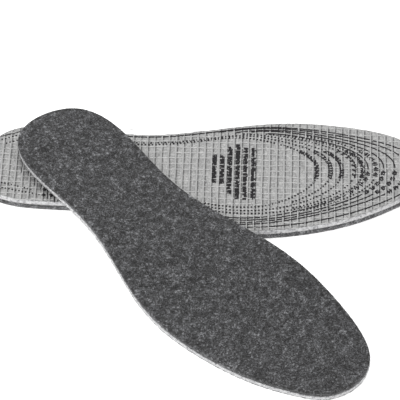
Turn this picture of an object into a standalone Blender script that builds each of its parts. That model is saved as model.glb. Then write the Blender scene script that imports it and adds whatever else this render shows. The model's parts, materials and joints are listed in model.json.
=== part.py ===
"""A left and right pair of cut-to-size cushioned insoles, in metres with +Z up.

Each insole is a flat laminate of five layers: scrim net, foil film, foam core, bonding web
and felt. The left insole lies on the table with its foil face up. The right insole lies
across its heel with its felt face up, and slopes down until its forefoot meets the table.
Each insole is cut in two along the ball of the foot, where it flexes.
"""

import math

import bmesh
import bpy
from mathutils import Vector

MM = 0.001

# Closed cubic B-spline of the outline, as control points in millimetres. X runs from the
# heel to the toe. +Y is the big toe's side when the insole lies as it does in this pair.
OUTLINE_CONTROL = [
    (-4, -12),
    (17, -30),
    (72, -32),
    (106, -39),
    (139, -52),
    (179, -62),
    (240, -54),
    (272, -39),
    (296, -26),
    (300, 17),
    (244, 31),
    (197, 36),
    (135, 25),
    (95, 26),
    (52, 37),
    (19, 36),
    (2, 18),
]
STEPS_PER_SPAN = 7

# Layers in order from the foil face, where the net lies outermost, to the felt face.
LAYERS = [
    ("scrim", 0.30 * MM),
    ("foil", 0.15 * MM),
    ("foam", 3.00 * MM),
    ("bond", 0.10 * MM),
    ("felt", 4.05 * MM),
]
LAYER_GAP = 0.05 * MM
TOTAL_THICKNESS = sum(thickness for _, thickness in LAYERS) + LAYER_GAP * (len(LAYERS) - 1)

# The flex line crosses the ball of the foot from the little toe's joint to the big toe's.
FLEX_LATERAL = (184 * MM, -61 * MM)
FLEX_MEDIAL = (214 * MM, 35 * MM)
FLEX_GAP = 0.3 * MM

# Where each insole lies: the back of its heel, and the direction from heel to toe.
LEFT_HEEL = (-148.0 * MM, 21.6 * MM)
LEFT_HEADING = math.radians(1.5)
RIGHT_HEEL = (-114.0 * MM, 55.3 * MM)
RIGHT_HEADING = math.radians(-42.9)

# The right insole rests on the left one and then slopes to the table. It leaves the left
# insole along a straight line that touches two stations of the left insole's near edge.
REST_GAP = 0.3 * MM
BEND_STATIONS = (57 * MM, 161 * MM)
BEND_CLEARANCE = 2.0 * MM
RAMP_LENGTH = 85 * MM
RAMP_STRIPS = 14

# Linear colour, roughness and metallic value of each layer.
FINISHES = {
    "scrim": ((0.75, 0.76, 0.78), 0.45, 0.0),
    "foil": ((0.52, 0.53, 0.54), 0.35, 1.0),
    "foam": ((0.86, 0.86, 0.86), 0.65, 0.0),
    "bond": ((0.80, 0.79, 0.74), 0.55, 0.0),
    "felt": ((0.09, 0.09, 0.093), 0.95, 0.0),
}


def clear_scene():
    for obj in list(bpy.data.objects):
        bpy.data.objects.remove(obj)


def make_material(name):
    colour, roughness, metallic = FINISHES[name]
    material = bpy.data.materials.new(name)
    material.use_nodes = True
    shader = material.node_tree.nodes["Principled BSDF"]
    shader.inputs["Base Color"].default_value = (*colour, 1.0)
    shader.inputs["Roughness"].default_value = roughness
    shader.inputs["Metallic"].default_value = metallic
    return material


def outline():
    """Points round the insole's edge, from its own heel, as (x, y) in metres."""
    points = []
    count = len(OUTLINE_CONTROL)
    for i in range(count):
        a, b, c, d = (Vector(OUTLINE_CONTROL[(i + k) % count]) for k in range(-1, 3))
        for step in range(STEPS_PER_SPAN):
            t = step / STEPS_PER_SPAN
            weight_a = (1 - t) ** 3
            weight_b = 3 * t**3 - 6 * t**2 + 4
            weight_c = -3 * t**3 + 3 * t**2 + 3 * t + 1
            weight_d = t**3
            total = a * weight_a + b * weight_b + c * weight_c + d * weight_d
            points.append(total * (MM / 6))
    return points


def placed(point, heel, heading):
    """A point of the insole's own plane, put where that insole lies."""
    x, y = point
    return Vector(
        (
            heel[0] + x * math.cos(heading) - y * math.sin(heading),
            heel[1] + x * math.sin(heading) + y * math.cos(heading),
        )
    )


def near_edge_point(station):
    """The point of the left insole's lateral edge at this distance from its heel."""
    lateral = sorted(p[:] for p in outline() if p.y < 0)
    for (x0, y0), (x1, y1) in zip(lateral, lateral[1:]):
        if x0 <= station <= x1:
            share = (station - x0) / (x1 - x0)
            return placed((station, y0 + share * (y1 - y0)), LEFT_HEEL, LEFT_HEADING)
    raise ValueError("the station lies past the insole's ends")


def bend_line():
    """(a point of the line where the right insole starts to slope, the way it slopes)."""
    start, end = (near_edge_point(station) for station in BEND_STATIONS)
    along = (end - start).normalized()
    downhill = Vector((along.y, -along.x))
    return start + downhill * BEND_CLEARANCE, downhill


def pair_centre():
    """The middle of the box round both outlines."""
    points = [placed(p, LEFT_HEEL, LEFT_HEADING) for p in outline()]
    points += [placed(p, RIGHT_HEEL, RIGHT_HEADING) for p in outline()]
    xs = [p.x for p in points]
    ys = [p.y for p in points]
    return Vector(((min(xs) + max(xs)) / 2, (min(ys) + max(ys)) / 2))


BEND_START, BEND_DOWNHILL = bend_line()
CENTRE = pair_centre()


def flat_base(point):
    """The left insole's underside lies on the table."""
    return 0.0


def draped_base(point):
    """The right insole's underside: on the left insole, then a smooth ramp to the table."""
    run = (point - BEND_START).dot(BEND_DOWNHILL) / RAMP_LENGTH
    run = min(max(run, 0.0), 1.0)
    return (TOTAL_THICKNESS + REST_GAP) * (1 - run * run * (3 - 2 * run))


def cut(bm, point, normal, keep_above=None):
    """Cuts the flat sheet along a line. keep_above says which side stays, None for both."""
    bmesh.ops.bisect_plane(
        bm,
        geom=bm.verts[:] + bm.edges[:] + bm.faces[:],
        dist=1e-7,
        plane_co=(*point, 0),
        plane_no=(*normal, 0),
        clear_inner=keep_above is True,
        clear_outer=keep_above is False,
    )


def half_sheet(heel, heading, front, strips):
    """One half of the outline as a flat sheet of triangles, cut into strips where it bends."""
    bm = bmesh.new()
    corners = [bm.verts.new((*placed(p, heel, heading), 0)) for p in outline()]
    bm.faces.new(corners)
    lateral = placed(FLEX_LATERAL, heel, heading)
    medial = placed(FLEX_MEDIAL, heel, heading)
    across = (medial - lateral).normalized()
    forward = Vector((across.y, -across.x))
    offset = FLEX_GAP / 2 if front else -FLEX_GAP / 2
    cut(bm, lateral + forward * offset, forward, keep_above=front)
    for strip in range(strips + 1 if strips else 0):
        cut(bm, BEND_START + BEND_DOWNHILL * (RAMP_LENGTH * strip / strips), BEND_DOWNHILL)
    bmesh.ops.triangulate(bm, faces=bm.faces[:])
    return bm


def thicken(bm, base, bottom, thickness):
    """Makes the flat sheet a closed layer that follows the insole's underside."""
    lower = bm.verts[:]
    grown = bmesh.ops.extrude_face_region(bm, geom=bm.faces[:], use_keep_orig=True)
    upper = [item for item in grown["geom"] if isinstance(item, bmesh.types.BMVert)]
    for verts, height in ((lower, bottom), (upper, bottom + thickness)):
        for vert in verts:
            vert.co.z = base(vert.co.xy) + height
    bmesh.ops.recalc_face_normals(bm, faces=bm.faces[:])


def add_layer(name, bm, material, pivot):
    """A named layer whose parent empty holds the joint that its body moves on."""
    shift = Vector((*CENTRE, 0)) + pivot.location
    for vert in bm.verts:
        vert.co -= shift
    mesh = bpy.data.meshes.new(name)
    bm.to_mesh(mesh)
    bm.free()
    mesh.materials.append(material)
    obj = bpy.data.objects.new(name, mesh)
    bpy.context.scene.collection.objects.link(obj)
    obj.parent = pivot
    return obj


def add_pivot(name, location):
    """An empty on a body's joint, placed in the pair's centred frame."""
    pivot = bpy.data.objects.new(name, None)
    bpy.context.scene.collection.objects.link(pivot)
    pivot.location = location
    return pivot


def edge_crossing(heel, heading, medial_side):
    """Where the flex line crosses this insole's lateral or medial edge."""
    lateral = Vector(FLEX_LATERAL)
    along = (Vector(FLEX_MEDIAL) - lateral).normalized()
    across = Vector((along.y, -along.x))
    points = outline()
    crossings = []
    for p, q in zip(points, points[1:] + points[:1]):
        side_p = (p - lateral).dot(across)
        side_q = (q - lateral).dot(across)
        if side_p * side_q <= 0 and side_p != side_q:
            crossings.append(p + (q - p) * (side_p / (side_p - side_q)))
    crossing = max(crossings, key=lambda p: p.y if medial_side else -p.y)
    return placed(crossing, heel, heading)


def flex_ends(heel, heading, base):
    """The flex axis: from the medial to the lateral end of the flex line on the top face."""
    ends = []
    for medial_side in (True, False):
        point = edge_crossing(heel, heading, medial_side)
        ends.append(Vector((*(point - CENTRE), base(point) + TOTAL_THICKNESS)))
    return ends


def build_insole(side, heel, heading, base, strips, layers, materials):
    """Five layers, each as a rear and a front half that meet at the flex line."""
    heel_point = placed((0, 0), heel, heading)
    rear_pivot = add_pivot(
        f"{side}_rear_origin", Vector((*(heel_point - CENTRE), base(heel_point)))
    )
    medial_end, lateral_end = flex_ends(heel, heading, base)
    flex_pivot = add_pivot(f"{side}_flex_axis", (medial_end + lateral_end) / 2)
    bottom = 0.0
    for layer, thickness in layers:
        for half, front, pivot in (("rear", False, rear_pivot), ("front", True, flex_pivot)):
            bm = half_sheet(heel, heading, front, strips)
            thicken(bm, base, bottom, thickness)
            add_layer(f"{side}_{layer}_{half}", bm, materials[layer], pivot)
        bottom += thickness + LAYER_GAP


def build_pair():
    clear_scene()
    materials = {name: make_material(name) for name in FINISHES}
    felt_down = LAYERS[::-1]
    build_insole("left", LEFT_HEEL, LEFT_HEADING, flat_base, 0, felt_down, materials)
    build_insole(
        "right", RIGHT_HEEL, RIGHT_HEADING, draped_base, RAMP_STRIPS, LAYERS, materials
    )


build_pair()
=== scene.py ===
"""The looks of a left and right pair of cut-to-size cushioned insoles, in metres with +Z up.

Each insole is made flat, layer by layer, in its own plane: x from heel to toe, y towards the
big toe, and h from the felt's outer face up to the net's. It is then placed by its own flex
joint. The left insole lies with its foil face up. The right one lies across it with its felt
face up, and bends down to the floor.
"""

import json
import math

import bmesh
import bpy
import numpy as np
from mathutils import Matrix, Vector, geometry, noise


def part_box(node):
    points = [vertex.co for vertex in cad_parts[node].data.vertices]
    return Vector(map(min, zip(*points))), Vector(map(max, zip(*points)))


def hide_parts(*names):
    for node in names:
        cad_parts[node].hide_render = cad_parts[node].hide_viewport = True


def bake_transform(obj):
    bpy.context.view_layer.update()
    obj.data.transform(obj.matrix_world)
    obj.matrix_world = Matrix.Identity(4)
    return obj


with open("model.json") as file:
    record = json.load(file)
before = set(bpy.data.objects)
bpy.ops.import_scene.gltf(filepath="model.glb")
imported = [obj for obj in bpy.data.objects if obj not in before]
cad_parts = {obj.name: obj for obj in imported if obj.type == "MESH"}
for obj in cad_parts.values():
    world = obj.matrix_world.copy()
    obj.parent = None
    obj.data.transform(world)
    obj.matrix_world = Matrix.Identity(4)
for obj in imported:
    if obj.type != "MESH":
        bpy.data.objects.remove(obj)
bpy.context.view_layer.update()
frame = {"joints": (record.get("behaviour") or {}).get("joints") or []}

MM = 0.001

# The outline's closed cubic B-spline and the flex line, as the CAD has them, in millimetres.
OUTLINE_CONTROL = [
    (-4, -12),
    (17, -30),
    (72, -32),
    (106, -39),
    (139, -52),
    (179, -62),
    (240, -54),
    (272, -39),
    (296, -26),
    (300, 17),
    (244, 31),
    (197, 36),
    (135, 25),
    (95, 26),
    (52, 37),
    (19, 36),
    (2, 18),
]
FLEX_LATERAL = np.array((184, -61)) * MM
FLEX_MEDIAL = np.array((214, 35)) * MM
# This y parts the lateral edge from the medial one.
MIDDLE_Y = -9 * MM

# The right insole leaves the left one past two stations of its lateral edge.
BEND_STATIONS = (57 * MM, 161 * MM)
BEND_CLEARANCE = 2 * MM
RAMP_LENGTH = 85 * MM

# The cut edges of two layers, from the felt's side up, as (inset in millimetres, share of the
# layer's thickness). The foam sags a little over the felt's edge.
FELT_EDGE = (
    (0.25, 0.01),
    (-0.15, 0.05),
    (-0.35, 0.16),
    (-0.38, 0.35),
    (-0.25, 0.55),
    (-0.1, 0.70),
    (0.25, 0.84),
    (0.5, 0.99),
)
FOAM_EDGE = (
    (0.4, -0.16),
    (0.0, -0.17),
    (-0.3, -0.08),
    (-0.4, 0.1),
    (-0.42, 0.3),
    (-0.38, 0.5),
    (-0.2, 0.70),
    (0.15, 0.88),
    (0.6, 0.97),
    (1.2, 1.0),
)
# How far a trimmed insole's lateral edge is cut back, in millimetres, and what is left of the
# foam's sag.
FOAM_CUT_BACK = 0.45
FILM_CUT_BACK = 1.05
LEAST_SAG = 0.3
FILM_THICKNESS = 0.09 * MM

# The felt's loose fibres: how many, and half their thickness.
PALE_FIBRES = (11000, 0.05 * MM)
DARK_FIBRES = (10000, 0.06 * MM)
EDGE_FUZZ = 3600
EDGE_WISPS = 5600
EDGE_FIBRE_RADIUS = 0.035 * MM

# The net: tapes across the insole over threads along it, turned a little from its long axis.
# START is the place of the line that has number 0, and WAVER is how far the lines stray. A
# tape's edges lie TAPE_EDGE below its middle, and every line stops NET_END_GAP short.
NET_TURN = math.radians(-3.3)
TAPE_PITCH = 4.85 * MM
TAPE_START = 116.25 * MM
TAPE_NUMBERS = range(-30, 42)
TAPE_WIDTH = 1.0 * MM
TAPE_WAVER = 0.3 * MM
TAPE_EDGE = 0.11 * MM
THREAD_PITCH = 4.8 * MM
THREAD_START = 8.0 * MM
THREAD_NUMBERS = range(-18, 12)
THREAD_WIDTH = 0.62 * MM
THREAD_WAVER = 0.9 * MM
THREAD_RISE = 0.10 * MM
NET_END_GAP = (0.8 * MM, 1.3 * MM)
SHORTEST_NET_LINE = 6 * MM

# The film's creases: where they lie beside a tape or a thread, and half their width.
CREASE_PLACE = 0.93 * MM
TUCK_PLACE = -0.75 * MM
CREASE_WIDTH = 0.25 * MM
DIP_PLACE = -0.75 * MM
DIP_WIDTH = 0.35 * MM
# How far the film's face as a whole and each of its features stand out, in millimetres.
FACE_RISE = 0.06
PILLOW_RISE = 0.12
CREASE_DEPTH = 0.26
TUCK_DEPTH = 0.04
DIP_DEPTH = 0.12
CRUMPLE_RISE = 0.18

# The print: each size with the x of its line's foremost point, in millimetres.
DOTTED_SIZES = [(36, 226), (37, 235), (38, 242.5), (39, 251), (40, 256.5), (41, 265.5)]
# The solid lines also have their margins from the lateral and the medial edge.
SOLID_SIZES = [
    (41, 260, 10.6, 7.6),
    (42, 270.5, 8.8, 5.6),
    (43, 278, 7.0, 4.9),
    (44, 286, 5.2, 2.9),
    (45, 294, 3.4, 2.2),
]
# A line's half width in millimetres is a spread times a power of the distance behind its front.
LATERAL_SPREAD = 6.9
OUTERMOST_LATERAL_SPREAD = 7.9
MEDIAL_SPREAD = 5.9
SPREAD_POWER = 0.42
PRINT_MIDDLE_Y = -7.5 * MM
# A line's two ends lie at one of these distances from the heel, or ahead of the ball's.
WAIST_X = 97 * MM
BALL_X = 150 * MM
SHORT_LATERAL_END = 207 * MM
# A label takes the stretch of a line's toe between two ys.
DOTTED_LABEL = (-16 * MM, 9 * MM)
SOLID_LABEL = (-29 * MM, -9 * MM)
TOE_LENGTH = 28 * MM
NUMERAL_HEIGHT = 2.8 * MM
NUMERAL_PITCH = 4.5 * MM
SOLID_NUMERAL_PITCH = 5.1 * MM
DOT_PITCH = 2.4 * MM
DOT_RADIUS = 0.71 * MM
LINE_WIDTH = 0.88 * MM
# Ink stands this far out of its ground. Over a tape and its bridges to the film, its ground
# lies at a varying height about the tape's face.
INK_LIFT = 0.15 * MM
INK_BRIDGE = 0.35 * MM
INK_ON_TAPES = -0.145 * MM
INK_ON_TAPES_VARIES = 0.25 * MM

# The block of print: each row's x, its medial end's y and its length, in millimetres.
PRINT_ROWS = (
    (157.7, 6.5, 24),
    (162.8, 5.5, 23),
    (168.4, 13, 40),
    (173.9, 15, 47),
    (178.9, 12, 44),
    (184.2, 11.5, 44),
)
GLYPH_HEIGHT = 3.1 * MM
GLYPH_WIDTH = 1.35 * MM
GLYPH_STEM = 0.78 * MM
GLYPH_PITCH = 1.5 * MM
WORD_GAP = 0.9 * MM

# Marks near the heel, in millimetres. The first stroke is print. The others are painted shadow:
# dark strokes beside the tapes, where the right insole's edge lies over the left one.
HEEL_DOT_ROWS = (
    ((15, -13), (34.5, -19.5)),
    ((15.5, -17.5), (40, -24)),
    ((14.5, 24.5), (24, 27.5)),
    ((17.5, 21), (27, 24)),
)
HEEL_ROUNDS = ((43.5, -20), (43, -24.5), (48, -25))
HEEL_STROKES_AND_SHADOWS = (
    ((13.5, 27), (27, 31)),
    ((28.7, 4), (28, -5)),
    ((32.7, -4), (33, -8)),
    ((37, -10), (37, -16)),
    ((41.7, -16), (41, -19.5)),
    ((45.8, -20), (45.5, -28)),
    ((50.3, -26), (50.2, -31)),
)
HEEL_DOT_RADIUS = 0.6 * MM
HEEL_ROUND_RADIUS = 1.4 * MM
HEEL_STROKE_WIDTH = 0.6 * MM


def layer_heights(layer):
    """The lowest and highest h of a CAD layer, read from the insole that lies foil face up."""
    low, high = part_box(f"left_{layer}_rear")
    return low.z, high.z


FELT_LOW, FELT_HIGH = layer_heights("felt")
BOND_LOW, BOND_HIGH = layer_heights("bond")
FOAM_LOW, FOAM_HIGH = layer_heights("foam")
FOIL_HIGH = layer_heights("foil")[1]
NET_LOW, NET_HIGH = layer_heights("scrim")
THICKNESS = NET_HIGH - FELT_LOW
TAPE_TOP = NET_HIGH - 0.05 * MM


# -------- flat shapes


def outline(step):
    """Points round the insole's edge, counter-clockwise and one step apart."""
    control = np.array(OUTLINE_CONTROL, float) * MM
    t = np.linspace(0, 1, 60, endpoint=False)[:, None]
    weights = ((1 - t) ** 3, 3 * t**3 - 6 * t**2 + 4, -3 * t**3 + 3 * t**2 + 3 * t + 1, t**3)
    spans = []
    for i in range(len(control)):
        ends = [control[(i + k) % len(control)] for k in range(-1, 3)]
        spans.append(sum(w * p for w, p in zip(weights, ends)) / 6)
    return resampled(np.concatenate(spans), step, closed=True)


def resampled(points, step, closed=False):
    """The same polyline with its points one step apart."""
    if closed:
        points = np.concatenate([points, points[:1]])
    lengths = np.linalg.norm(np.diff(points, axis=0), axis=1)
    travelled = np.concatenate([[0], np.cumsum(lengths)])
    count = max(2, round(travelled[-1] / step))
    wanted = np.linspace(0, travelled[-1], count + 1)
    if closed:
        wanted = wanted[:-1]
    return np.stack([np.interp(wanted, travelled, points[:, k]) for k in (0, 1)], axis=1)


def left_normals(points, closed=True):
    """Unit vectors to the left of a polyline's way: inwards on a counter-clockwise outline."""
    if closed:
        along = np.roll(points, -1, axis=0) - np.roll(points, 1, axis=0)
    else:
        along = np.gradient(points, axis=0)
    across = np.stack([-along[:, 1], along[:, 0]], axis=1)
    return across / np.linalg.norm(across, axis=1)[:, None]


def inside(points, polygon):
    """Which points lie inside a polygon."""
    found = np.zeros(len(points), bool)
    x, y = points.T
    for (x0, y0), (x1, y1) in zip(polygon, np.roll(polygon, -1, axis=0)):
        if y0 != y1:
            crosses = (y0 > y) != (y1 > y)
            found ^= crosses & (x < x0 + (x1 - x0) * (y - y0) / (y1 - y0))
    return found


def triangulated(rim, inner):
    """Counter-clockwise triangles over a rim and the points inside it, rim points first."""
    points = [Vector(p) / MM for p in np.concatenate([rim, inner])]
    made = geometry.delaunay_2d_cdt(points, [], [list(range(len(rim)))], 1, 1e-5)
    origin = [given[0] for given in made[3]]
    return [[origin[v] for v in face] for face in made[2]]


def wander(points, size, seed):
    """Smooth noise from -1 to 1 over flat points. Its features have this size."""
    return np.array([noise.noise((x / size, y / size, seed)) for x, y in points])


def scattered_grid(step, rng, margin):
    """Points over the whole insole, about one step apart and off a strict grid."""
    xs = np.arange(-5 * MM, 302 * MM, step)
    ys = np.arange(-66 * MM, 42 * MM, step)
    grid = np.stack(np.meshgrid(xs, ys), axis=-1)
    grid[1::2, :, 0] += step / 2
    grid = grid.reshape(-1, 2)
    grid = grid + rng.uniform(-0.2, 0.2, grid.shape) * step
    return grid[inside(grid, outline_inset(margin))]


def lateral_share(rim):
    """How much each rim point faces the lateral side: 1 there, 0 on the medial side."""
    return 0.5 + 0.5 * left_normals(rim)[:, 1]


def outline_inset(margin):
    """The outline moved inwards by a margin."""
    rim = outline(2 * MM)
    return rim + left_normals(rim) * margin


def slab(rim, profile, inner, lower, upper):
    """A closed layer as points (x, y, h) and faces.

    profile runs round the layer's edge from its lower face to its upper one, as pairs of inset
    and height. lower and upper are the heights of its two faces at the inner points. Each of
    them is one number or one per point.
    """
    normals = left_normals(rim)
    count = len(rim)
    rings = []
    for inset, height in profile:
        flat = rim + normals * np.reshape(inset, (-1, 1))
        rings.append(np.column_stack([flat, np.broadcast_to(height, count)]))
    ring_count = len(rings)
    first_lower = count * ring_count
    first_upper = first_lower + len(inner)
    for face_height in (lower, upper):
        rings.append(np.column_stack([inner, np.broadcast_to(face_height, len(inner))]))
    points = np.concatenate(rings)
    last_ring = count * (ring_count - 1)
    faces = []
    for triangle in triangulated(rings[ring_count - 1][:, :2], inner):
        faces.append([v + (last_ring if v < count else first_upper - count) for v in triangle])
        faces.append([v if v < count else v + first_lower - count for v in triangle[::-1]])
    for ring in range(ring_count - 1):
        for i in range(count):
            j = (i + 1) % count
            low, high = ring * count, (ring + 1) * count
            faces.append([low + i, low + j, high + j, high + i])
    return points, faces


def joined(*shapes):
    """Several shapes as one."""
    points = []
    faces = []
    first = 0
    for some_points, some_faces in shapes:
        points.append(some_points)
        faces += [[v + first for v in face] for face in some_faces]
        first += len(some_points)
    return np.concatenate(points), faces


# -------- placing


class Insole:
    """Where one insole lies."""

    def __init__(self, side, foil_up):
        self.side = side
        self.foil_up = foil_up
        joint = next(j for j in frame["joints"] if j["name"] == f"flex_{side}")
        self.flex_point = Vector(joint["pos_m"])
        axis = np.array(joint["axis"][:2])
        flat_axis = FLEX_LATERAL - FLEX_MEDIAL
        self.heading = math.atan2(axis[1], axis[0]) - math.atan2(flat_axis[1], flat_axis[0])
        self.forward = Vector((-axis[1], axis[0], 0)).normalized()
        self.heel = np.zeros(2)
        self.heel = np.array(self.flex_point[:2]) - self.plan(flex_middle()[None])[0]

    def plan(self, flat):
        """Flat points as they lie on the floor's plane."""
        cos, sin = math.cos(self.heading), math.sin(self.heading)
        return self.heel + flat @ np.array(((cos, sin), (-sin, cos)))

    def place(self, points):
        """Points (x, y, h) of the flat insole as they lie in the pair."""
        plan = self.plan(points[:, :2])
        if self.foil_up:
            z = points[:, 2]
        else:
            z = draped_base(plan) + THICKNESS - points[:, 2]
        return np.column_stack([plan, z])


def flex_middle():
    """The middle of the flex line's stretch inside the outline."""
    along = FLEX_MEDIAL - FLEX_LATERAL
    across = np.array((along[1], -along[0])) / np.linalg.norm(along)
    rim = outline(0.25 * MM)
    sides = (rim - FLEX_LATERAL) @ across
    crossings = rim[np.nonzero(sides * np.roll(sides, -1) <= 0)[0]]
    return (crossings[crossings[:, 1].argmin()] + crossings[crossings[:, 1].argmax()]) / 2


def edge_y(x, side):
    """The y of the medial (side 1) or lateral (side -1) edge at these distances from the heel."""
    rim = outline(0.25 * MM)
    rim = rim[(rim[:, 1] - MIDDLE_Y) * side > 0]
    rim = rim[rim[:, 0].argsort()]
    return np.interp(x, rim[:, 0], rim[:, 1])


def draped_base(plan):
    """The height of the right insole's underside: on the left insole, then down to the floor."""
    run = np.clip((plan - BEND_START) @ BEND_DOWNHILL / RAMP_LENGTH, 0, 1)
    return BASE_DROP * (1 - run * run * (3 - 2 * run))


LEFT = Insole("left", foil_up=True)
RIGHT = Insole("right", foil_up=False)
BEND_ENDS = LEFT.plan(np.array([(x, edge_y(x, -1)) for x in BEND_STATIONS]))
BEND_ALONG = (BEND_ENDS[1] - BEND_ENDS[0]) / np.linalg.norm(BEND_ENDS[1] - BEND_ENDS[0])
BEND_DOWNHILL = np.array((BEND_ALONG[1], -BEND_ALONG[0]))
BEND_START = BEND_ENDS[0] + BEND_DOWNHILL * BEND_CLEARANCE
BASE_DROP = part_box("right_felt_rear")[1].z - THICKNESS


def linked(name, data):
    """A new object in the scene."""
    obj = bpy.data.objects.new(name, data)
    bpy.context.scene.collection.objects.link(obj)
    return obj


def add_piece(insole, name, shape, material):
    """A mesh piece of one insole, placed."""
    points, faces = shape
    if not insole.foil_up:
        faces = [face[::-1] for face in faces]
    mesh = bpy.data.meshes.new(f"{insole.side}_{name}")
    mesh.from_pydata(insole.place(points).tolist(), [], faces)
    mesh.shade_smooth()
    mesh.set_sharp_from_angle(angle=math.radians(60))
    mesh.materials.append(material)
    obj = linked(f"{insole.side}_{name}", mesh)
    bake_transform(obj)
    return obj


def store(obj, name, values):
    """Gives a piece's points a value each, which its material reads."""
    attribute = obj.data.attributes.new(name, "FLOAT", "POINT")
    attribute.data.foreach_set("value", values.astype(np.float32))


def add_layer(insole, name, shape, material, layer):
    """A piece that stands for both CAD halves of a layer."""
    obj = add_piece(insole, name, shape, material)
    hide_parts(f"{insole.side}_{layer}_rear", f"{insole.side}_{layer}_front")
    return obj


# -------- materials


class Shader:
    """A Principled material and short ways to add texture nodes to it."""

    def __init__(self, name, roughness, **sockets):
        self.material = bpy.data.materials.new(name)
        self.material.use_nodes = True
        self.nodes = self.material.node_tree.nodes
        self.links = self.material.node_tree.links
        self.principled = self.nodes["Principled BSDF"]
        self.principled.inputs["Roughness"].default_value = roughness
        for socket, value in sockets.items():
            self.feed(self.principled.inputs[socket.replace("_", " ")], value)
        self.place = self.nodes.new("ShaderNodeTexCoord").outputs["Object"]

    def feed(self, socket, value):
        """Sets a socket to a number or a colour, or links it to a node's output."""
        if isinstance(value, tuple):
            socket.default_value = (*value, 1)
        elif isinstance(value, (int, float)):
            socket.default_value = value
        else:
            self.links.new(value, socket)

    def node(self, kind, **sockets):
        """A new texture node with its sockets fed."""
        node = self.nodes.new(f"ShaderNode{kind}")
        for socket, value in sockets.items():
            self.feed(node.inputs[socket.replace("_", " ")], value)
        return node

    def scaled(self, factors):
        """Coordinates scaled along each axis, for marks that run one way."""
        node = self.node("Mapping", Vector=self.place)
        node.inputs["Scale"].default_value = factors
        return node.outputs["Vector"]

    def noise(self, size, detail=3.0, roughness=0.55, vector=None, distortion=0.0):
        node = self.node("TexNoise", Scale=1 / size, Detail=detail, Roughness=roughness)
        self.feed(node.inputs["Distortion"], distortion)
        self.feed(node.inputs["Vector"], vector or self.place)
        return node.outputs["Fac"]

    def cells(self, size):
        return self.node("TexVoronoi", Scale=1 / size, Vector=self.place).outputs["Distance"]

    def attribute(self, name):
        node = self.nodes.new("ShaderNodeAttribute")
        node.attribute_name = name
        return node.outputs["Fac"]

    def math(self, operation, a, b):
        node = self.node("Math")
        node.operation = operation
        for socket, value in zip(node.inputs, (a, b)):
            self.feed(socket, value)
        return node.outputs[0]

    def blended(self, a, b, share):
        """A share of one factor plus the rest of the other."""
        parts = self.math("MULTIPLY", a, share), self.math("MULTIPLY", b, 1 - share)
        return self.math("ADD", *parts)

    def ramp(self, factor, stops):
        """A colour ramp. stops are pairs of place and linear colour."""
        node = self.node("ValToRGB", Fac=factor)
        elements = node.color_ramp.elements
        while len(elements) < len(stops):
            elements.new(0.5)
        for element, (position, colour) in zip(elements, stops):
            element.position = position
            element.color = (*colour, 1)
        return node.outputs["Color"]

    def mix(self, factor, a, b):
        """Colour a where the factor is 0, and colour b where it is 1."""
        node = self.node("Mix")
        node.data_type = "RGBA"
        for socket, value in ((node.inputs[0], factor), (node.inputs[6], a), (node.inputs[7], b)):
            self.feed(socket, value)
        return node.outputs[2]

    def colour(self, source):
        self.links.new(source, self.principled.inputs["Base Color"])

    def rough(self, factor, low, high):
        node = self.node("MapRange", Value=factor, To_Min=low, To_Max=high)
        self.links.new(node.outputs["Result"], self.principled.inputs["Roughness"])

    def bump(self, height, distance, strength=1.0):
        node = self.node("Bump", Distance=distance, Strength=strength, Height=height)
        self.links.new(node.outputs["Normal"], self.principled.inputs["Normal"])


def felt_material():
    """Heather grey needle felt: dark wool with pale and near-black specks, paler where cut."""
    shader = Shader("heather_felt", 0.95, Sheen_Weight=0.08, Sheen_Roughness=0.6)
    heather = shader.noise(5.0 * MM, detail=6, roughness=0.92)
    grain = shader.noise(1.1 * MM, detail=2, roughness=0.6, distortion=0.7)
    shade = shader.blended(heather, grain, 0.6)
    face_stops = (
        (0.40, (0.003, 0.003, 0.003)),
        (0.46, (0.016, 0.016, 0.016)),
        (0.51, (0.036, 0.036, 0.037)),
        (0.56, (0.090, 0.091, 0.095)),
        (0.61, (0.240, 0.243, 0.254)),
    )
    cut_stops = (
        (0.40, (0.020, 0.020, 0.021)),
        (0.50, (0.085, 0.085, 0.088)),
        (0.61, (0.360, 0.362, 0.370)),
    )
    face = shader.ramp(shade, face_stops)
    cut = shader.ramp(shade, cut_stops)
    shader.colour(shader.mix(shader.attribute("cut"), face, cut))
    shader.bump(grain, 0.30 * MM, 0.6)
    return shader.material


def fibre_material(name, dark, pale):
    """Loose wool that varies from fibre to fibre between two colours."""
    shader = Shader(name, 0.85, Sheen_Weight=0.2, Sheen_Roughness=0.5)
    shader.colour(shader.ramp(shader.noise(6 * MM, detail=2), ((0.35, dark), (0.65, pale))))
    shader.bump(shader.noise(0.2 * MM), 0.02 * MM)
    return shader.material


def foil_material():
    """Aluminised film, crumpled in every cell of the net, with painted shade darkening its
    creases by the tapes and its dips by the threads.
    """
    shader = Shader("aluminised_film", 0.45, Metallic=0.75)
    crumple = shader.noise(1.3 * MM, detail=5, roughness=0.62, distortion=0.8)
    haze = shader.noise(7 * MM, detail=2)
    stops = (
        (0.32, (0.13, 0.13, 0.13)),
        (0.50, (0.265, 0.265, 0.263)),
        (0.66, (0.44, 0.44, 0.435)),
    )
    film = shader.ramp(shader.blended(crumple, haze, 0.75), stops)
    # Painted shade: the film's colour goes to this dark grey in its creases and dips.
    shader.colour(shader.mix(shader.attribute("crease_and_shade"), film, (0.105, 0.105, 0.105)))
    shader.rough(crumple, 0.34, 0.62)
    shader.bump(crumple, 0.30 * MM, 0.8)
    return shader.material


def net_material():
    """Milky polyester tape with fine lengthwise ribs."""
    shader = Shader("net_tape", 0.42)
    haze = shader.noise(2.5 * MM, detail=4, roughness=0.6)
    stops = (
        (0.30, (0.25, 0.25, 0.249)),
        (0.55, (0.335, 0.335, 0.333)),
        (0.75, (0.43, 0.43, 0.427)),
    )
    shader.colour(shader.ramp(haze, stops))
    ribs = shader.noise(0.35 * MM, detail=2, vector=shader.scaled((1, 0.12, 1)))
    shader.bump(ribs, 0.06 * MM, 0.7)
    return shader.material


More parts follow.
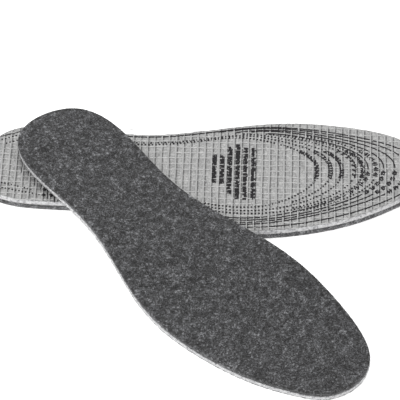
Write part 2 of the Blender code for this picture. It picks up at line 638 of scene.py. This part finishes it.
def thread_material():
    """Paler twisted thread."""
    shader = Shader("net_thread", 0.38)
    haze = shader.noise(3 * MM, detail=3)
    shader.colour(shader.ramp(haze, ((0.3, (0.32, 0.32, 0.317)), (0.7, (0.54, 0.54, 0.535)))))
    shader.bump(shader.noise(0.3 * MM, vector=shader.scaled((0.2, 1, 1))), 0.05 * MM, 0.6)
    return shader.material


def foam_material():
    """White closed-cell foam, with its cut cells as small pits, bumped and darkened with painted
    shade.
    """
    shader = Shader("latex_foam", 0.7)
    pits = shader.cells(0.55 * MM)
    # Darker and lighter spots at random, about 1.8 mm across.
    mottling = shader.noise(1.8 * MM, detail=4, roughness=0.65)
    stops = (
        (0.34, (0.20, 0.20, 0.21)),
        (0.47, (0.48, 0.48, 0.49)),
        (0.66, (0.66, 0.66, 0.66)),
    )
    base = shader.ramp(mottling, stops)
    # Painted shade: the pits' colour goes to this grey where they lie deepest.
    shader.colour(shader.mix(shader.math("LESS_THAN", pits, 0.16), base, (0.30, 0.30, 0.31)))
    shader.bump(pits, 0.12 * MM, 0.8)
    return shader.material


def bond_material():
    """Cloudy melted web."""
    shader = Shader("bonding_web", 0.5)
    web = shader.noise(1.2 * MM, detail=4)
    shader.colour(shader.ramp(web, ((0.35, (0.44, 0.43, 0.41)), (0.65, (0.66, 0.65, 0.62)))))
    shader.bump(web, 0.1 * MM, 0.8)
    return shader.material


def ink_material():
    """Black ink that is thin and greyish in places. It also colours the strokes of painted shadow
    near the heel.
    """
    shader = Shader("black_ink_and_painted_shadow", 0.6, Specular_IOR_Level=0.2)
    wear = shader.noise(0.8 * MM, detail=4, roughness=0.65)
    stops = (
        (0.40, (0.006, 0.0055, 0.0065)),
        (0.62, (0.014, 0.013, 0.015)),
        (0.80, (0.06, 0.06, 0.06)),
    )
    shader.colour(shader.ramp(wear, stops))
    shader.bump(wear, 0.03 * MM, 0.6)
    return shader.material


FELT = felt_material()
PALE_FIBRE = fibre_material("pale_wool_fibre", (0.10, 0.10, 0.108), (0.23, 0.235, 0.25))
CUT_FIBRE = fibre_material("cut_wool_fibre", (0.22, 0.22, 0.23), (0.42, 0.42, 0.43))
DARK_FIBRE = fibre_material("dark_wool_fibre", (0.008, 0.008, 0.008), (0.035, 0.035, 0.036))
FOIL = foil_material()
NET = net_material()
THREAD = thread_material()
FOAM = foam_material()
BOND = bond_material()
INK_AND_SHADOW = ink_material()


# -------- felt


def felt_shape():
    """Needle felt with a cut edge that is a little soft and uneven."""
    rng = np.random.default_rng(11)
    rim = outline(0.9 * MM)
    height = FELT_HIGH - FELT_LOW
    profile = []
    for level, (inset, share) in enumerate(FELT_EDGE):
        uneven = wander(rim, 1.4 * MM, 3.1 * level) * 0.16
        uneven = uneven + wander(rim, 4 * MM, 1.3 * level) * 0.10
        profile.append(((inset + uneven) * MM, FELT_LOW + height * share))
    inner = scattered_grid(1.15 * MM, rng, 1.5 * MM)
    pile = 0.10 * MM + wander(inner, 2.2 * MM, 5.5) * 0.09 * MM
    pile = np.maximum(pile + wander(inner, 9 * MM, 8.5) * 0.10 * MM, 0)
    return slab(rim, profile, inner, FELT_LOW + pile, FELT_HIGH)


def strands(rng, roots, headings, lengths, radius, lift, climb):
    """Short tapered fibres as closed three-sided hairs, in (x, y, h).

    roots are (x, y, h). A fibre runs along its heading and curls. Its middle stands off the
    felt's outer face by lift, and climb is how much h changes from its root to its far end.
    """
    rings = 3
    count = len(roots)
    along = np.linspace(0, 1, rings + 2)
    curl = rng.uniform(-1.1, 1.1, count)
    path = np.zeros((count, rings + 2, 3))
    path[:, 0] = roots
    for i in range(1, rings + 2):
        angle = headings + curl * along[i]
        step = (lengths / (rings + 1))[:, None] * np.stack([np.cos(angle), np.sin(angle)], axis=1)
        path[:, i, :2] = path[:, i - 1, :2] + step
        path[:, i, 2] = roots[:, 2] - lift * np.sin(math.pi * along[i]) + climb * along[i]
    angles = headings[:, None] + curl[:, None] * along[1:-1]
    sideways = np.stack([-np.sin(angles), np.cos(angles), np.zeros_like(angles)], axis=-1)
    upright = np.array((0, 0, 1.0))
    corners = []
    for turn in (0, 2 * math.pi / 3, 4 * math.pi / 3):
        out = sideways * math.cos(turn) + upright * math.sin(turn)
        corners.append(path[:, 1:-1] + radius * out)
    rows = np.stack(corners, axis=2).reshape(count, rings * 3, 3)
    points = np.concatenate([path[:, :1], rows, path[:, -1:]], axis=1).reshape(-1, 3)
    tip = rings * 3 + 1
    pattern = []
    for k in range(3):
        n = (k + 1) % 3
        pattern.append((0, 1 + n, 1 + k))
        for ring in range(rings - 1):
            low = 1 + ring * 3
            pattern.append((low + k, low + n, low + 3 + n))
            pattern.append((low + k, low + 3 + n, low + 3 + k))
        pattern.append((tip - 3 + k, tip - 3 + n, tip))
    faces = np.array(pattern)[None] + (np.arange(count) * (tip + 1))[:, None, None]
    return points, faces.reshape(-1, 3).tolist()


def surface_fibres(seed, count, radius):
    """Loose fibres lying in every direction over the felt's outer face."""
    rng = np.random.default_rng(seed)
    spread = rng.uniform((-2 * MM, -62 * MM), (298 * MM, 38 * MM), (count, 2))
    spread = spread[inside(spread, outline_inset(1.6 * MM))]
    amount = len(spread)
    roots = np.column_stack([spread, rng.uniform(-0.02, 0.06, amount) * MM])
    lengths = rng.uniform(1.2, 3.4, amount) * MM
    headings = rng.uniform(0, 2 * math.pi, amount)
    lift = rng.uniform(0.05, 0.3, amount) * MM
    return strands(rng, roots, headings, lengths, radius, lift, np.zeros(amount))


def edge_fibres(seed, count):
    """Fuzz round the felt's cut edge. Some fibres stand out and most lie along it."""
    rng = np.random.default_rng(seed)
    rim = outline(0.5 * MM)
    inward = left_normals(rim)
    chosen = rng.integers(0, len(rim), count)
    heights = rng.uniform(FELT_LOW + 0.35 * MM, FELT_HIGH - 0.25 * MM, count)
    roots = np.column_stack([rim[chosen] + inward[chosen] * 0.15 * MM, heights])
    outward = np.arctan2(-inward[chosen, 1], -inward[chosen, 0])
    swing = rng.choice((-1, 1), count) * rng.uniform(0.5, 1.45, count)
    lengths = rng.uniform(0.5, 1.5, count) * MM
    room = np.minimum(heights - FELT_LOW, FELT_HIGH - heights)
    climb = rng.uniform(-0.8, 0.8, count) * room
    no_lift = np.zeros(count)
    return strands(rng, roots, outward + swing, lengths, EDGE_FIBRE_RADIUS, no_lift, climb)


# -------- foam and bond


def foam_shape(trimmed):
    """The foam core, with the cells of its cut edge standing open.

    Where trimmed is 1, its edge on the lateral side is cut back and rounded under the film.
    """
    rng = np.random.default_rng(23)
    rim = outline(0.55 * MM)
    height = FOAM_HIGH - FOAM_LOW
    cut_back = FOAM_CUT_BACK * lateral_share(rim) * trimmed
    sag = 1 - (1 - LEAST_SAG) * trimmed
    profile = []
    for level, (inset, share) in enumerate(FOAM_EDGE):
        rounded = inset * lateral_share(rim) * trimmed if inset > 0 else inset
        if share < 0:
            share *= sag
        cells = np.abs(wander(rim, 0.8 * MM, 2.7 * level)) * 0.4
        waves = wander(rim, 2.5 * MM, 4.0 + 0.4 * level) * 0.2
        profile.append(((rounded + cut_back + cells + waves) * MM, FOAM_LOW + height * share))
    inner = scattered_grid(5 * MM, rng, 4 * MM)
    hidden_top = FOAM_HIGH - 0.45 * MM
    return slab(rim, profile, inner, FOAM_LOW, hidden_top)


def bond_shape():
    """The melted web between felt and foam, squeezed out a little here and there."""
    rng = np.random.default_rng(29)
    rim = outline(0.8 * MM)
    squeeze = (0.22 + wander(rim, 2.5 * MM, 7.7) * 0.25) * MM
    profile = [(squeeze + 0.05 * MM, BOND_LOW), (squeeze, BOND_HIGH)]
    inner = scattered_grid(5 * MM, rng, 4 * MM)
    return slab(rim, profile, inner, BOND_LOW, BOND_HIGH)


# -------- film and net


def net_axes():
    """Unit vectors across the tapes and across the threads, as the rows of a matrix."""
    cos, sin = math.cos(NET_TURN), math.sin(NET_TURN)
    return np.array(((cos, sin), (-sin, cos)))


def net_waver(flat):
    """How far the net's tapes and threads stray from straight lines at flat points."""
    across_tapes = wander(flat, 14 * MM, 5.0) * TAPE_WAVER
    across_threads = wander(flat, 11 * MM, 9.0) * THREAD_WAVER
    return np.column_stack([across_tapes, across_threads])


def to_net(flat):
    """Flat points as (u across the tapes, v across the threads)."""
    return flat @ net_axes().T - net_waver(flat)


def from_net(net):
    """Net coordinates as flat points."""
    flat = net @ net_axes()
    return flat + net_waver(flat) @ net_axes()


def from_line(values, start, pitch):
    """Signed distance from the nearest of a set of lines one pitch apart."""
    return (values - start + pitch / 2) % pitch - pitch / 2


def ridge(distance, middle, width):
    """A smooth ridge over signed distances: 1 at its middle and 0 well past its half width."""
    return np.exp(-(((distance - middle) / width) ** 2))


def film_relief(flat):
    """(height of the film's outer face, how much painted shade darkens each point, from 0 to 1).

    The film stands in a pillow between the tapes. It is creased beside each of them, and it dips
    here and there beside a thread. The painted shade lies in these creases and, more faintly, in
    the dips.
    """
    u, v = to_net(flat).T
    across_tape = from_line(u, TAPE_START, TAPE_PITCH)
    across_thread = from_line(v, THREAD_START, THREAD_PITCH)
    crease_and_shade = ridge(across_tape, CREASE_PLACE, CREASE_WIDTH)
    tuck = ridge(across_tape, TUCK_PLACE, CREASE_WIDTH)
    pillow = np.cos(math.pi * across_tape / TAPE_PITCH + math.pi / 2) ** 2
    pillow = pillow * np.clip(np.abs(across_thread) / (1.2 * MM), 0, 1)
    crumple = wander(flat, 1.6 * MM, 12.5) * 0.6 + wander(flat, 3.5 * MM, 2.5) * 0.4
    dip = ridge(across_thread, DIP_PLACE, DIP_WIDTH)
    dip = dip * np.clip(0.6 + wander(flat, 2.5 * MM, 15.0), 0, 1)
    relief = PILLOW_RISE * pillow - CREASE_DEPTH * crease_and_shade - TUCK_DEPTH * tuck
    relief = relief - DIP_DEPTH * dip + CRUMPLE_RISE * crumple
    # The second value is painted shade, full in the creases and 0.35 as strong in the dips.
    return FOIL_HIGH + (FACE_RISE + relief) * MM, np.clip(crease_and_shade + 0.35 * dip, 0, 1)


def film_shape(trimmed):
    """The aluminised film, its mesh in step with the net so that its creases stay crisp.

    Where trimmed is 1, it is cut back from the foam's edge on the lateral side.
    """
    tape_columns = np.array((-0.62, 0.62, 0.93, 1.25, 1.9, 2.75, 3.55)) * MM
    thread_rows = np.array((-0.4, 0.45, 1.3, 2.2, 3.1, 4.05)) * MM
    tapes = np.array(TAPE_NUMBERS) * TAPE_PITCH + TAPE_START
    threads = np.array(THREAD_NUMBERS) * THREAD_PITCH + THREAD_START
    us = (tapes[:, None] + tape_columns).ravel()
    vs = (threads[:, None] + thread_rows).ravel()
    grid = from_net(np.stack(np.meshgrid(us, vs), axis=-1).reshape(-1, 2))
    inner = grid[inside(grid, outline_inset(1.35 * MM))]
    rim = outline(0.7 * MM)
    cut_back = FILM_CUT_BACK * lateral_share(rim) * trimmed
    ragged = (cut_back - 0.05 + wander(rim, 3 * MM, 9.9) * 0.25) * MM
    upper, _ = film_relief(inner)
    rim_height, _ = film_relief(rim)
    rim_height = np.minimum(rim_height, FOIL_HIGH) - 0.05 * MM
    profile = [(ragged, rim_height - FILM_THICKNESS), (ragged, rim_height)]
    return slab(rim, profile, inner, upper - FILM_THICKNESS, upper)


def chord(start, direction, rim):
    """The stretch of a straight line inside the insole, as two distances from start, or None."""
    across = np.array((-direction[1], direction[0]))
    sides = (rim - start) @ across
    hits = np.nonzero(sides * np.roll(sides, -1) <= 0)[0]
    if len(hits) < 2:
        return None
    places = (rim[hits] - start) @ direction
    return places.min(), places.max()


def strip(path, section):
    """A closed bar along flat points. section is a list of (across, h) corners."""
    normals = left_normals(path, closed=False)
    corners = []
    for across, height in section:
        flat = path + normals * np.reshape(across, (-1, 1))
        corners.append(np.column_stack([flat, height]))
    points = np.stack(corners, axis=1).reshape(-1, 3)
    width = len(section)
    faces = []
    for i in range(len(path) - 1):
        for k in range(width):
            n = (k + 1) % width
            faces.append([i * width + k, i * width + n, (i + 1) * width + n, (i + 1) * width + k])
    faces.append(list(range(width))[::-1])
    faces.append([(len(path) - 1) * width + k for k in range(width)])
    return points, faces


def net_lines(rng, along_v, start, pitch, numbers):
    """The net's lines inside the outline, as flat paths that waver with the net."""
    rim = outline(0.3 * MM)
    u_axis, v_axis = net_axes()
    along, across = (v_axis, u_axis) if along_v else (u_axis, v_axis)
    paths = []
    for number in numbers:
        place = start + number * pitch
        ends = chord(across * place, along, rim)
        if ends is None or ends[1] - ends[0] < SHORTEST_NET_LINE:
            continue
        low = ends[0] + rng.uniform(*NET_END_GAP)
        high = ends[1] - rng.uniform(*NET_END_GAP)
        run = np.linspace(low, high, max(3, round((high - low) / (1.0 * MM))))
        level = np.full(len(run), place)
        paths.append(from_net(np.column_stack([level, run] if along_v else [run, level])))
    return paths


def tapes_shape():
    """The flat tapes across the insole, over the threads."""
    rng = np.random.default_rng(31)
    shapes = []
    for path in net_lines(rng, True, TAPE_START, TAPE_PITCH, TAPE_NUMBERS):
        half = TAPE_WIDTH / 2 * (1 + wander(path, 5 * MM, 21.0) * 0.22)
        top = TAPE_TOP + wander(path, 3 * MM, 17.0) * 0.05 * MM
        low = np.full(len(path), NET_LOW)
        section = [(half, low), (half, top - TAPE_EDGE), (half * 0.45, top)]
        section += [(-half * 0.45, top), (-half, top - TAPE_EDGE), (-half, low)]
        shapes.append(strip(path, section[::-1]))
    return joined(*shapes)


def threads_shape():
    """The threads along the insole, under the tapes, flattened where they were pressed."""
    rng = np.random.default_rng(37)
    shapes = []
    for path in net_lines(rng, False, THREAD_START, THREAD_PITCH, THREAD_NUMBERS):
        half = THREAD_WIDTH / 2 * (1 + wander(path, 4 * MM, 41.0) * 0.35)
        film, _ = film_relief(path)
        middle = film - 0.02 * MM + wander(path, 2.6 * MM, 33.0) * 0.22 * MM
        top = middle + THREAD_RISE
        bottom = middle - THREAD_RISE
        section = [(half, middle), (half * 0.5, top), (-half * 0.5, top)]
        section += [(-half, middle), (-half * 0.5, bottom), (half * 0.5, bottom)]
        shapes.append(strip(path, section[::-1]))
    return joined(*shapes)


# -------- print


def cutting_line(front_x, margins, ends, spreads):
    """One size's line, from its lateral end round the toe to its medial end.

    It widens behind its front until it runs along the outline at a margin. margins, ends and
    spreads are pairs, for the lateral and the medial side.
    """
    halves = []
    for side, spread, margin, end in zip((-1, 1), spreads, margins, ends):
        behind = (front_x - end) * np.linspace(0, 1, 160) ** 2
        x = front_x - behind
        wanted = np.maximum(spread * (behind / MM) ** SPREAD_POWER, 0.1)
        room = side * (edge_y(x, side) - PRINT_MIDDLE_Y) - margin
        room = np.maximum(room / MM, 1)
        width = (wanted**-16.0 + room**-16.0) ** (-1 / 16)
        halves.append(np.column_stack([x, PRINT_MIDDLE_Y + side * width * MM]))
    return resampled(np.concatenate([halves[0][::-1], halves[1]]), 0.7 * MM)


def inked_face(flat):
    """The height of what the ink is printed on: the film, and the tapes over it.

    The tapes took the ink in some places only. In the others it lies below their face.
    """
    height, _ = film_relief(flat)
    across_tape = from_line(to_net(flat)[:, 0], TAPE_START, TAPE_PITCH)
    on_tape = np.abs(across_tape) < TAPE_WIDTH / 2 + INK_BRIDGE
    taken = TAPE_TOP + INK_ON_TAPES + wander(flat, 2 * MM, 61.0) * INK_ON_TAPES_VARIES
    return np.where(on_tape, np.maximum(height, taken), height)


def inked(flat, faces, borders):
    """A closed body of ink over flat faces. It reaches a little into its ground and out of it."""
    count = len(flat)
    ground = inked_face(flat)
    lower = np.column_stack([flat, ground - INK_LIFT])
    upper = np.column_stack([flat, ground + INK_LIFT])
    solid = [[v + count for v in face] for face in faces] + [face[::-1] for face in faces]
    solid += [[a, b, b + count, a + count] for a, b in borders]
    return np.concatenate([lower, upper]), solid


def print_polygon(corners):
    """A small inked area from flat counter-clockwise corners."""
    rim = list(range(len(corners)))
    return inked(corners, [rim], list(zip(rim, rim[1:] + rim[:1])))


def print_line(path, width):
    """An inked line whose width wavers."""
    half = width / 2 * (1 + wander(path, 2 * MM, 51.0) * 0.4)
    base = inked_face(path)
    section = [(half, base - INK_LIFT), (half, base + INK_LIFT)]
    section += [(-half, base + INK_LIFT), (-half, base - INK_LIFT)]
    return strip(path, section[::-1])


def print_dot(centre, radius):
    """A round inked dot."""
    angles = np.linspace(0, 2 * math.pi, 9, endpoint=False)
    return print_polygon(centre + radius * np.stack([np.cos(angles), np.sin(angles)], axis=1))


def dotted(path, pitch, radius, rng, between):
    """Dots one pitch apart along a path, or halfway between those places."""
    dots = resampled(path, pitch)
    if between:
        dots = (dots[1:] + dots[:-1]) / 2
    return [print_dot(dot, radius * rng.uniform(0.8, 1.15)) for dot in dots]


def numeral_mesh(text):
    """The numeral one unit tall: its points, its faces and its open edges.

    It is cut into bands, so that it can follow the net's relief.
    """
    curve = bpy.data.curves.new("numeral", "FONT")
    curve.body = text
    curve.size = 1 / 0.72
    curve.offset = 0.095
    curve.resolution_u = 2
    curve.align_x = "CENTER"
    obj = linked("numeral", curve)
    mesh = bpy.data.meshes.new_from_object(obj)
    bm = bmesh.new()
    bm.from_mesh(mesh)
    bmesh.ops.remove_doubles(bm, verts=bm.verts[:], dist=1e-4)
    for height in np.linspace(0, 1, 7)[1:-1]:
        geom = bm.verts[:] + bm.edges[:] + bm.faces[:]
        bmesh.ops.bisect_plane(bm, geom=geom, plane_co=(0, height, 0), plane_no=(0, 1, 0))
    bm.verts.index_update()
    points = np.array([v.co[:2] for v in bm.verts])
    faces = [[v.index for v in f.verts] for f in bm.faces]
    borders = [e.link_loops[0] for e in bm.edges if len(e.link_loops) == 1]
    open_edges = [(l.vert.index, l.link_loop_next.vert.index) for l in borders]
    bm.free()
    bpy.data.objects.remove(obj)
    bpy.data.curves.remove(curve)
    bpy.data.meshes.remove(mesh)
    return points, faces, open_edges


def print_numeral(numeral, place, along, mirrored):
    """A numeral on the film, centred at place, its foot towards the heel."""
    points, faces, open_edges = numeral
    up = np.array((-along[1], along[0]))
    reading = -along if mirrored else along
    flat = place + NUMERAL_HEIGHT * (points[:, :1] * reading + (points[:, 1:] - 0.5) * up)
    solid, made = inked(flat, faces, open_edges)
    if mirrored:
        made = [face[::-1] for face in made]
    return solid, made


def label(text, path, mirrored, pitch):
    """The size's numeral again and again along a stretch of its line."""
    numeral = numeral_mesh(text)
    places = resampled(path, pitch)
    middles = (places[1:] + places[:-1]) / 2
    steps = places[1:] - places[:-1]
    ways = steps / np.linalg.norm(steps, axis=1)[:, None]
    return [print_numeral(numeral, p, w, mirrored) for p, w in zip(middles, ways)]


def split_for_label(path, span):
    """(the line's pieces beside its label, the stretch that the label takes, from +y to -y).

    The label takes the line's toe between the two ys of span.
    """
    at_toe = path[:, 0] > path[:, 0].max() - TOE_LENGTH
    under = at_toe & (path[:, 1] > span[0]) & (path[:, 1] < span[1])
    places = np.nonzero(under)[0]
    first, last = places.min(), places.max()
    return [path[: first - 1], path[last + 2 :]], path[first : last + 1][::-1]


def dotted_lines(rng, mirrored):
    """The cutting lines of the smaller sizes.

    Every other one stops short on the lateral side, and all but two on the medial side, where
    they would run into each other.
    """
    shapes = []
    for number, (size, front) in enumerate(DOTTED_SIZES):
        odd = number % 2 == 1
        margins = ((20 - 1.3 * number) * MM, (8.8 - 1.4 * min(number, 2)) * MM)
        medial_end = WAIST_X if number < 2 else BALL_X + 14 * number * MM
        ends = (SHORT_LATERAL_END if odd else BALL_X, medial_end)
        line = cutting_line(front * MM, margins, ends, (LATERAL_SPREAD, MEDIAL_SPREAD))
        sides, under = split_for_label(line, DOTTED_LABEL)
        shapes += label(str(size), under, mirrored, NUMERAL_PITCH)
        for side in sides:
            shapes += dotted(side, DOT_PITCH, DOT_RADIUS, rng, between=odd)
    return shapes


def solid_lines(mirrored):
    """The cutting lines of the larger sizes. The outermost one runs back to the waist."""
    shapes = []
    for number, (size, front, lateral_margin, medial_margin) in enumerate(SOLID_SIZES):
        outermost = number == len(SOLID_SIZES) - 1
        margins = (lateral_margin * MM, medial_margin * MM)
        ends = (BALL_X, WAIST_X if outermost else BALL_X + (44 - 11 * number) * MM)
        lateral_spread = OUTERMOST_LATERAL_SPREAD if outermost else LATERAL_SPREAD
        line = cutting_line(front * MM, margins, ends, (lateral_spread, MEDIAL_SPREAD))
        sides, under = split_for_label(line, SOLID_LABEL)
        shapes += label(str(size), under, mirrored, SOLID_NUMERAL_PITCH)
        shapes += [print_line(side, LINE_WIDTH) for side in sides]
    return shapes


def print_bar(centre, along, across, length, width):
    """A straight inked bar, centred, with its length along one way and its width across."""
    corners = []
    for a, b in ((-1, -1), (0, -1), (1, -1), (1, 1), (0, 1), (-1, 1)):
        corners.append(centre + along * (a * length / 2) + across * (b * width / 2))
    corners = np.array(corners)
    turn = along[0] * across[1] - along[1] * across[0]
    return print_polygon(corners if turn > 0 else corners[::-1])


def print_glyph(rng, centre, up, along):
    """A block-like mark as dense as a letter, but none in particular."""
    shapes = []
    for side in (-1, 1):
        length = GLYPH_HEIGHT * rng.uniform(0.6, 1.0)
        shift = (GLYPH_HEIGHT - length) / 2 * rng.choice((-1, 1))
        stem = centre + along * (side * GLYPH_WIDTH * 0.33) + up * shift
        shapes.append(print_bar(stem, up, along, length, GLYPH_STEM))
    for share in rng.choice((-0.4, 0.0, 0.4), 2, replace=False):
        bar = centre + up * (GLYPH_HEIGHT * share)
        shapes.append(print_bar(bar, along, up, GLYPH_WIDTH * 0.8, GLYPH_STEM))
    return shapes


def word_row(rng, start, length):
    """A row of word-like groups of marks, which stands for a row of print.

    It runs along the net's tapes, from its medial end.
    """
    up, v_axis = net_axes()
    along = -v_axis
    shapes = []
    travelled = 0.0
    left_in_word = rng.integers(3, 9)
    while travelled < length:
        shapes += print_glyph(rng, start + along * travelled, up, along)
        travelled += GLYPH_PITCH
        left_in_word -= 1
        if left_in_word == 0:
            travelled += WORD_GAP
            left_in_word = rng.integers(3, 9)
    return shapes


def block_print():
    """Rows of marks across the ball, where the real one carries its wording."""
    rng = np.random.default_rng(43)
    shapes = []
    for x, y, length in PRINT_ROWS:
        shapes += word_row(rng, np.array((x, y)) * MM, length * MM)
    return shapes


def heel_print():
    """Rows of dots and a short stroke near the heel, three round marks, and short strokes of
    painted shadow along the right insole's edge.
    """
    rng = np.random.default_rng(47)
    shapes = []
    for row in HEEL_DOT_ROWS:
        shapes += dotted(np.array(row) * MM, DOT_PITCH, HEEL_DOT_RADIUS, rng, between=False)
    for place in HEEL_ROUNDS:
        shapes.append(print_dot(np.array(place) * MM, HEEL_ROUND_RADIUS))
    # Painted shadow: all strokes but the first stand for the right insole's shadow in the grooves
    # by the tapes.
    for stroke in HEEL_STROKES_AND_SHADOWS:
        path = resampled(np.array(stroke) * MM, 0.8 * MM)
        shapes.append(print_line(path, HEEL_STROKE_WIDTH))
    return shapes


def print_shape(mirrored):
    """All the ink on one insole, and the painted shadow strokes near its heel. Its numerals are
    mirrored where the insole is turned over.
    """
    rng = np.random.default_rng(41)
    lines = dotted_lines(rng, mirrored) + solid_lines(mirrored)
    return joined(*lines, *block_print(), *heel_print())


# -------- the pair


def build_insole(insole, shapes):
    """All the layers of one insole, from their flat shapes.

    Only the insole that lies felt side up has loose fibres over its face.
    """
    felt = add_layer(insole, "felt", shapes["felt"], FELT, "felt")
    cut_share = np.clip((shapes["felt"][0][:, 2] - FELT_LOW) / (0.6 * MM), 0, 1)
    store(felt, "cut", cut_share * (1.0 if insole.foil_up else 0.25))
    fuzz = [add_piece(insole, "edge_fuzz", shapes["edge_fuzz"], DARK_FIBRE)]
    wisp = CUT_FIBRE if insole.foil_up else PALE_FIBRE
    fuzz.append(add_piece(insole, "edge_wisps", shapes["edge_wisps"], wisp))
    if not insole.foil_up:
        for name, wool in (("pale_fibres", PALE_FIBRE), ("dark_fibres", DARK_FIBRE)):
            fuzz.append(add_piece(insole, name, shapes[name], wool))
    add_layer(insole, "bond", shapes["bond"], BOND, "bond")
    foam = add_layer(insole, "foam", shapes["foam"], FOAM, "foam")
    film = add_layer(insole, "film", shapes["film"], FOIL, "foil")
    # The film's colour takes painted shade from this, in its creases and dips.
    store(film, "crease_and_shade", film_relief(shapes["film"][0][:, :2])[1])
    add_layer(insole, "net_tapes", shapes["tapes"], NET, "scrim")
    add_piece(insole, "net_threads", shapes["threads"], THREAD)
    # This piece also holds the strokes of painted shadow near the heel.
    add_piece(insole, "print_and_shadow_strokes", print_shape(mirrored=not insole.foil_up), INK_AND_SHADOW)


def build_pair():
    """Both insoles. The lower one's edge is trimmed in the way that the photograph shows."""
    shapes = {
        "felt": felt_shape(),
        "edge_fuzz": edge_fibres(51, EDGE_FUZZ),
        "edge_wisps": edge_fibres(67, EDGE_WISPS),
        "pale_fibres": surface_fibres(53, *PALE_FIBRES),
        "dark_fibres": surface_fibres(59, *DARK_FIBRES),
        "bond": bond_shape(),
        "tapes": tapes_shape(),
        "threads": threads_shape(),
    }
    for insole, trimmed, rests_on in ((LEFT, 1.0, []), (RIGHT, 0.0, ["left_net_tapes"])):
        shapes["foam"] = foam_shape(trimmed)
        shapes["film"] = film_shape(trimmed)
        build_insole(insole, shapes)


# -------- floor, light and camera


CAMERA_TARGET = Vector((-0.0004, 0.0470, 0.0))
CAMERA_DISTANCE = 1.707
CAMERA_ELEVATION = math.radians(51.31)
CAMERA_LENS = 230.4
SENSOR = 36.0
FLOOR_SIZE = 12.0


def add_floor():
    """A plain white floor."""
    half = FLOOR_SIZE / 2
    corners = ((-half, -half, 0), (half, -half, 0), (half, half, 0), (-half, half, 0))
    mesh = bpy.data.meshes.new("floor")
    mesh.from_pydata(corners, [], [(0, 1, 2, 3)])
    shader = Shader("white_floor", 0.9, Emission_Color=(1, 1, 1), Emission_Strength=0.45)
    stops = ((0.3, (0.90, 0.90, 0.90)), (0.7, (0.93, 0.93, 0.93)))
    shader.colour(shader.ramp(shader.noise(0.4), stops))
    mesh.materials.append(shader.material)
    floor = linked("floor", mesh)


def aimed(name, data, way, distance):
    """A light or camera this way and far from the camera's target, facing it."""
    obj = linked(name, data)
    obj.location = CAMERA_TARGET + way * distance
    obj.rotation_mode = "QUATERNION"
    obj.rotation_quaternion = (-way).to_track_quat("-Z", "Y")
    return obj


def add_softbox(name, azimuth, elevation, distance, size, power):
    """A square area light that faces the pair."""
    light = bpy.data.lights.new(name, "AREA")
    light.size = size
    light.energy = power
    a, e = math.radians(azimuth), math.radians(elevation)
    way = Vector((math.sin(a) * math.cos(e), -math.cos(a) * math.cos(e), math.sin(e)))
    aimed(name, light, way, distance)


def add_lights():
    """Even white surroundings, a soft key from the left and a soft light from behind."""
    world = bpy.data.worlds.new("studio")
    world.use_nodes = True
    world.node_tree.nodes["Background"].inputs["Color"].default_value = (1, 1, 1, 1)
    world.node_tree.nodes["Background"].inputs["Strength"].default_value = 0.75
    bpy.context.scene.world = world
    add_softbox("key", azimuth=-60, elevation=55, distance=1.6, size=1.2, power=14)
    add_softbox("back", azimuth=170, elevation=50, distance=1.8, size=1.4, power=12)


def add_camera():
    """A long lens that looks at the pair from the front and above."""
    camera = bpy.data.cameras.new("camera")
    camera.lens = CAMERA_LENS
    camera.sensor_width = SENSOR
    camera.clip_end = 50
    back = Vector((0, -math.cos(CAMERA_ELEVATION), math.sin(CAMERA_ELEVATION)))
    bpy.context.scene.camera = aimed("camera", camera, back, CAMERA_DISTANCE)


bpy.context.scene.view_settings.view_transform = "Standard"
add_camera()
add_floor()
add_lights()
build_pair()
